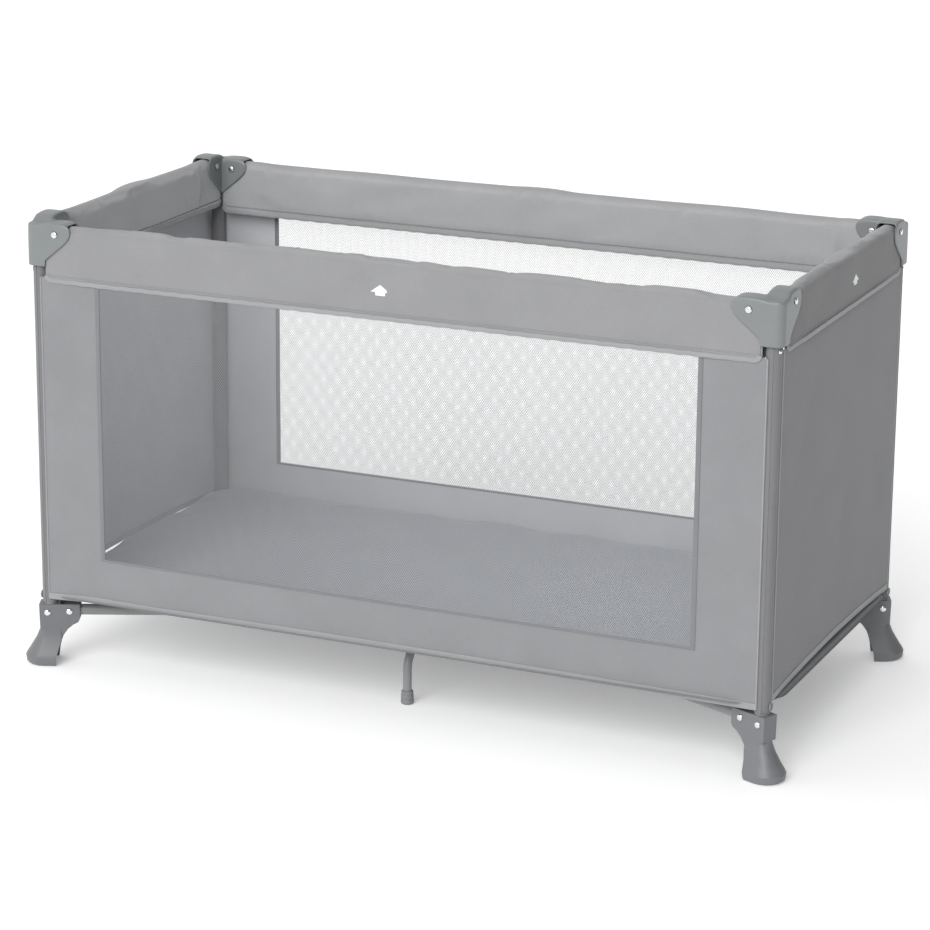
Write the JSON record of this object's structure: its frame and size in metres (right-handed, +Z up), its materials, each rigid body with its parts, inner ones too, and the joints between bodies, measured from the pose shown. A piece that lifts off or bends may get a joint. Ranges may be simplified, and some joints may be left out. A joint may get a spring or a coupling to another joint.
{
  "type": "folding travel cot",
  "caption": "Rectangular folding playpen: padded rails on corner posts, fabric and mesh walls, thin mattress, folding floor arms with a centre hub and legs.",
  "frame": {"origin": "middle of the footprint, at floor level under the feet", "axes": "+X along the long side, -Y is the front, +Z up"},
  "size_m": [1.3138, 0.6704, 0.7493],
  "materials": {
    "cap_plastic": "satin grey-green",
    "post_sleeve": "steel tube in a woven sleeve",
    "painted_tube": "satin grey paint",
    "rivet_steel": "bright",
    "latch_steel": "satin",
    "dark_plastic": "matt",
    "grey_rubber": "matt",
    "wall_fabric": "woven",
    "mattress_cover": "woven",
    "strap_webbing": "woven"
  },
  "bodies": {
    "hub": {"hub": "dark_plastic", "floor_panel": "wall_fabric", "mattress": "mattress_cover", "pull_strap": "strap_webbing"},
    "arm_fl": {"floor_arm_fl": "painted_tube"},
    "corner_fl": {"post_fl": "post_sleeve", "cap_fl": "cap_plastic", "foot_fl": "cap_plastic", "arm_pin_fl": "rivet_steel", "rail_pin_long_fl": "rivet_steel", "rail_pin_short_fl": "rivet_steel", "panel_long_fl": "wall_fabric", "panel_short_fl": "wall_fabric"},
    "rail_long_fl": {"rail_long_fl": "painted_tube"},
    "rail_short_fl": {"rail_short_fl": "painted_tube"},
    "arm_fr": {"floor_arm_fr": "painted_tube"},
    "corner_fr": {"post_fr": "post_sleeve", "cap_fr": "cap_plastic", "foot_fr": "cap_plastic", "arm_pin_fr": "rivet_steel", "rail_pin_long_fr": "rivet_steel", "rail_pin_short_fr": "rivet_steel", "panel_long_fr": "wall_fabric", "panel_short_fr": "wall_fabric"},
    "rail_long_fr": {"rail_long_fr": "painted_tube"},
    "rail_short_fr": {"rail_short_fr": "painted_tube"},
    "arm_rl": {"floor_arm_rl": "painted_tube"},
    "corner_rl": {"post_rl": "post_sleeve", "cap_rl": "cap_plastic", "foot_rl": "cap_plastic", "arm_pin_rl": "rivet_steel", "rail_pin_long_rl": "rivet_steel", "rail_pin_short_rl": "rivet_steel", "panel_long_rl": "wall_fabric", "panel_short_rl": "wall_fabric"},
    "rail_long_rl": {"rail_long_rl": "painted_tube"},
    "rail_short_rl": {"rail_short_rl": "painted_tube"},
    "arm_rr": {"floor_arm_rr": "painted_tube"},
    "corner_rr": {"post_rr": "post_sleeve", "cap_rr": "cap_plastic", "foot_rr": "cap_plastic", "arm_pin_rr": "rivet_steel", "rail_pin_long_rr": "rivet_steel", "rail_pin_short_rr": "rivet_steel", "panel_long_rr": "wall_fabric", "panel_short_rr": "wall_fabric"},
    "rail_long_rr": {"rail_long_rr": "painted_tube"},
    "rail_short_rr": {"rail_short_rr": "painted_tube"},
    "latch_front": {"latch_front": "latch_steel"},
    "button_front": {"latch_button_front": "dark_plastic"},
    "latch_rear": {"latch_rear": "latch_steel"},
    "button_rear": {"latch_button_rear": "dark_plastic"},
    "latch_left": {"latch_left": "latch_steel"},
    "button_left": {"latch_button_left": "dark_plastic"},
    "latch_right": {"latch_right": "latch_steel"},
    "button_right": {"latch_button_right": "dark_plastic"},
    "leg_front": {"centre_leg_front": "painted_tube", "leg_tip_front": "grey_rubber"},
    "leg_rear": {"centre_leg_rear": "painted_tube", "leg_tip_rear": "grey_rubber"}
  },
  "joints": [
    {"name": "fold", "type": "hinge", "parent": "hub", "child": "arm_fl", "pos_m": [-0.02667, -0.0432, 0.09], "axis": [0.4, -0.9165, 0], "range_deg": [0, 86], "deforming": ["panel_long_fl", "panel_short_fl", "panel_long_fr", "panel_short_fr", "panel_long_rl", "panel_short_rl", "panel_long_rr", "panel_short_rr", "mattress", "floor_panel"]},
    {"name": "level_corner_fl", "type": "hinge", "parent": "arm_fl", "child": "corner_fl", "pos_m": [-0.58567, -0.2872, 0.09], "axis": [0.4, -0.9165, 0], "range_deg": [-86, 0]},
    {"name": "fold_rail_long_fl", "type": "hinge", "parent": "corner_fl", "child": "rail_long_fl", "pos_m": [-0.579, -0.3, 0.723], "axis": [0, 1, 0], "range_deg": [0, 86]},
    {"name": "fold_rail_short_fl", "type": "hinge", "parent": "corner_fl", "child": "rail_short_fl", "pos_m": [-0.615, -0.264, 0.73], "axis": [-1, 0, 0], "range_deg": [0, 86]},
    {"name": "fold_arm_fr", "type": "hinge", "parent": "hub", "child": "arm_fr", "pos_m": [0.02667, -0.0432, 0.09], "axis": [0.4, 0.9165, 0], "range_deg": [0, 86]},
    {"name": "level_corner_fr", "type": "hinge", "parent": "arm_fr", "child": "corner_fr", "pos_m": [0.58567, -0.2872, 0.09], "axis": [0.4, 0.9165, 0], "range_deg": [-86, 0]},
    {"name": "fold_rail_long_fr", "type": "hinge", "parent": "corner_fr", "child": "rail_long_fr", "pos_m": [0.579, -0.3, 0.723], "axis": [0, -1, 0], "range_deg": [0, 86]},
    {"name": "fold_rail_short_fr", "type": "hinge", "parent": "corner_fr", "child": "rail_short_fr", "pos_m": [0.615, -0.264, 0.73], "axis": [-1, 0, 0], "range_deg": [0, 86]},
    {"name": "fold_arm_rl", "type": "hinge", "parent": "hub", "child": "arm_rl", "pos_m": [-0.02667, 0.0432, 0.09], "axis": [-0.4, -0.9165, 0], "range_deg": [0, 86]},
    {"name": "level_corner_rl", "type": "hinge", "parent": "arm_rl", "child": "corner_rl", "pos_m": [-0.58567, 0.2872, 0.09], "axis": [-0.4, -0.9165, 0], "range_deg": [-86, 0]},
    {"name": "fold_rail_long_rl", "type": "hinge", "parent": "corner_rl", "child": "rail_long_rl", "pos_m": [-0.579, 0.3, 0.723], "axis": [0, 1, 0], "range_deg": [0, 86]},
    {"name": "fold_rail_short_rl", "type": "hinge", "parent": "corner_rl", "child": "rail_short_rl", "pos_m": [-0.615, 0.264, 0.73], "axis": [1, 0, 0], "range_deg": [0, 86]},
    {"name": "fold_arm_rr", "type": "hinge", "parent": "hub", "child": "arm_rr", "pos_m": [0.02667, 0.0432, 0.09], "axis": [-0.4, 0.9165, 0], "range_deg": [0, 86]},
    {"name": "level_corner_rr", "type": "hinge", "parent": "arm_rr", "child": "corner_rr", "pos_m": [0.58567, 0.2872, 0.09], "axis": [-0.4, 0.9165, 0], "range_deg": [-86, 0]},
    {"name": "fold_rail_long_rr", "type": "hinge", "parent": "corner_rr", "child": "rail_long_rr", "pos_m": [0.579, 0.3, 0.723], "axis": [0, -1, 0], "range_deg": [0, 86]},
    {"name": "fold_rail_short_rr", "type": "hinge", "parent": "corner_rr", "child": "rail_short_rr", "pos_m": [0.615, 0.264, 0.73], "axis": [1, 0, 0], "range_deg": [0, 86]},
    {"name": "level_latch_front", "type": "hinge", "parent": "rail_long_fl", "child": "latch_front", "pos_m": [-0.02, -0.3, 0.723], "axis": [0, 1, 0], "range_deg": [-86, 0]},
    {"name": "level_latch_rear", "type": "hinge", "parent": "rail_long_rl", "child": "latch_rear", "pos_m": [-0.02, 0.3, 0.723], "axis": [0, 1, 0], "range_deg": [-86, 0]},
    {"name": "level_latch_left", "type": "hinge", "parent": "rail_short_fl", "child": "latch_left", "pos_m": [-0.615, -0.02, 0.73], "axis": [-1, 0, 0], "range_deg": [-86, 0]},
    {"name": "level_latch_right", "type": "hinge", "parent": "rail_short_fr", "child": "latch_right", "pos_m": [0.615, -0.02, 0.73], "axis": [-1, 0, 0], "range_deg": [-86, 0]},
    {"name": "swing_leg_front", "type": "hinge", "parent": "hub", "child": "leg_front", "pos_m": [0, -0.044, 0.09], "axis": [1, 0, 0], "range_deg": [0, 75]},
    {"name": "swing_leg_rear", "type": "hinge", "parent": "hub", "child": "leg_rear", "pos_m": [0, 0.044, 0.09], "axis": [-1, 0, 0], "range_deg": [0, 75]},
    {"name": "press_button_front", "type": "slide", "parent": "latch_front", "child": "button_front", "axis": [0, 0, 1], "range_m": [0, 0.006], "stiffness_N_per_m": 400},
    {"name": "press_button_rear", "type": "slide", "parent": "latch_rear", "child": "button_rear", "axis": [0, 0, 1], "range_m": [0, 0.006], "stiffness_N_per_m": 400},
    {"name": "press_button_left", "type": "slide", "parent": "latch_left", "child": "button_left", "axis": [0, 0, 1], "range_m": [0, 0.006], "stiffness_N_per_m": 400},
    {"name": "press_button_right", "type": "slide", "parent": "latch_right", "child": "button_right", "axis": [0, 0, 1], "range_m": [0, 0.006], "stiffness_N_per_m": 400}
  ],
  "couplings": [
    {"joint": "level_corner_fl", "follows": "fold", "ratio": -1},
    {"joint": "fold_rail_long_fl", "follows": "fold", "ratio": 1},
    {"joint": "fold_rail_short_fl", "follows": "fold", "ratio": 1},
    {"joint": "fold_arm_fr", "follows": "fold", "ratio": 1},
    {"joint": "level_corner_fr", "follows": "fold", "ratio": -1},
    {"joint": "fold_rail_long_fr", "follows": "fold", "ratio": 1},
    {"joint": "fold_rail_short_fr", "follows": "fold", "ratio": 1},
    {"joint": "fold_arm_rl", "follows": "fold", "ratio": 1},
    {"joint": "level_corner_rl", "follows": "fold", "ratio": -1},
    {"joint": "fold_rail_long_rl", "follows": "fold", "ratio": 1},
    {"joint": "fold_rail_short_rl", "follows": "fold", "ratio": 1},
    {"joint": "fold_arm_rr", "follows": "fold", "ratio": 1},
    {"joint": "level_corner_rr", "follows": "fold", "ratio": -1},
    {"joint": "fold_rail_long_rr", "follows": "fold", "ratio": 1},
    {"joint": "fold_rail_short_rr", "follows": "fold", "ratio": 1},
    {"joint": "level_latch_front", "follows": "fold", "ratio": -1},
    {"joint": "level_latch_rear", "follows": "fold", "ratio": -1},
    {"joint": "level_latch_left", "follows": "fold", "ratio": -1},
    {"joint": "level_latch_right", "follows": "fold", "ratio": -1},
    {"joint": "swing_leg_front", "follows": "fold", "ratio": 0.872},
    {"joint": "swing_leg_rear", "follows": "fold", "ratio": 0.872}
  ]
}
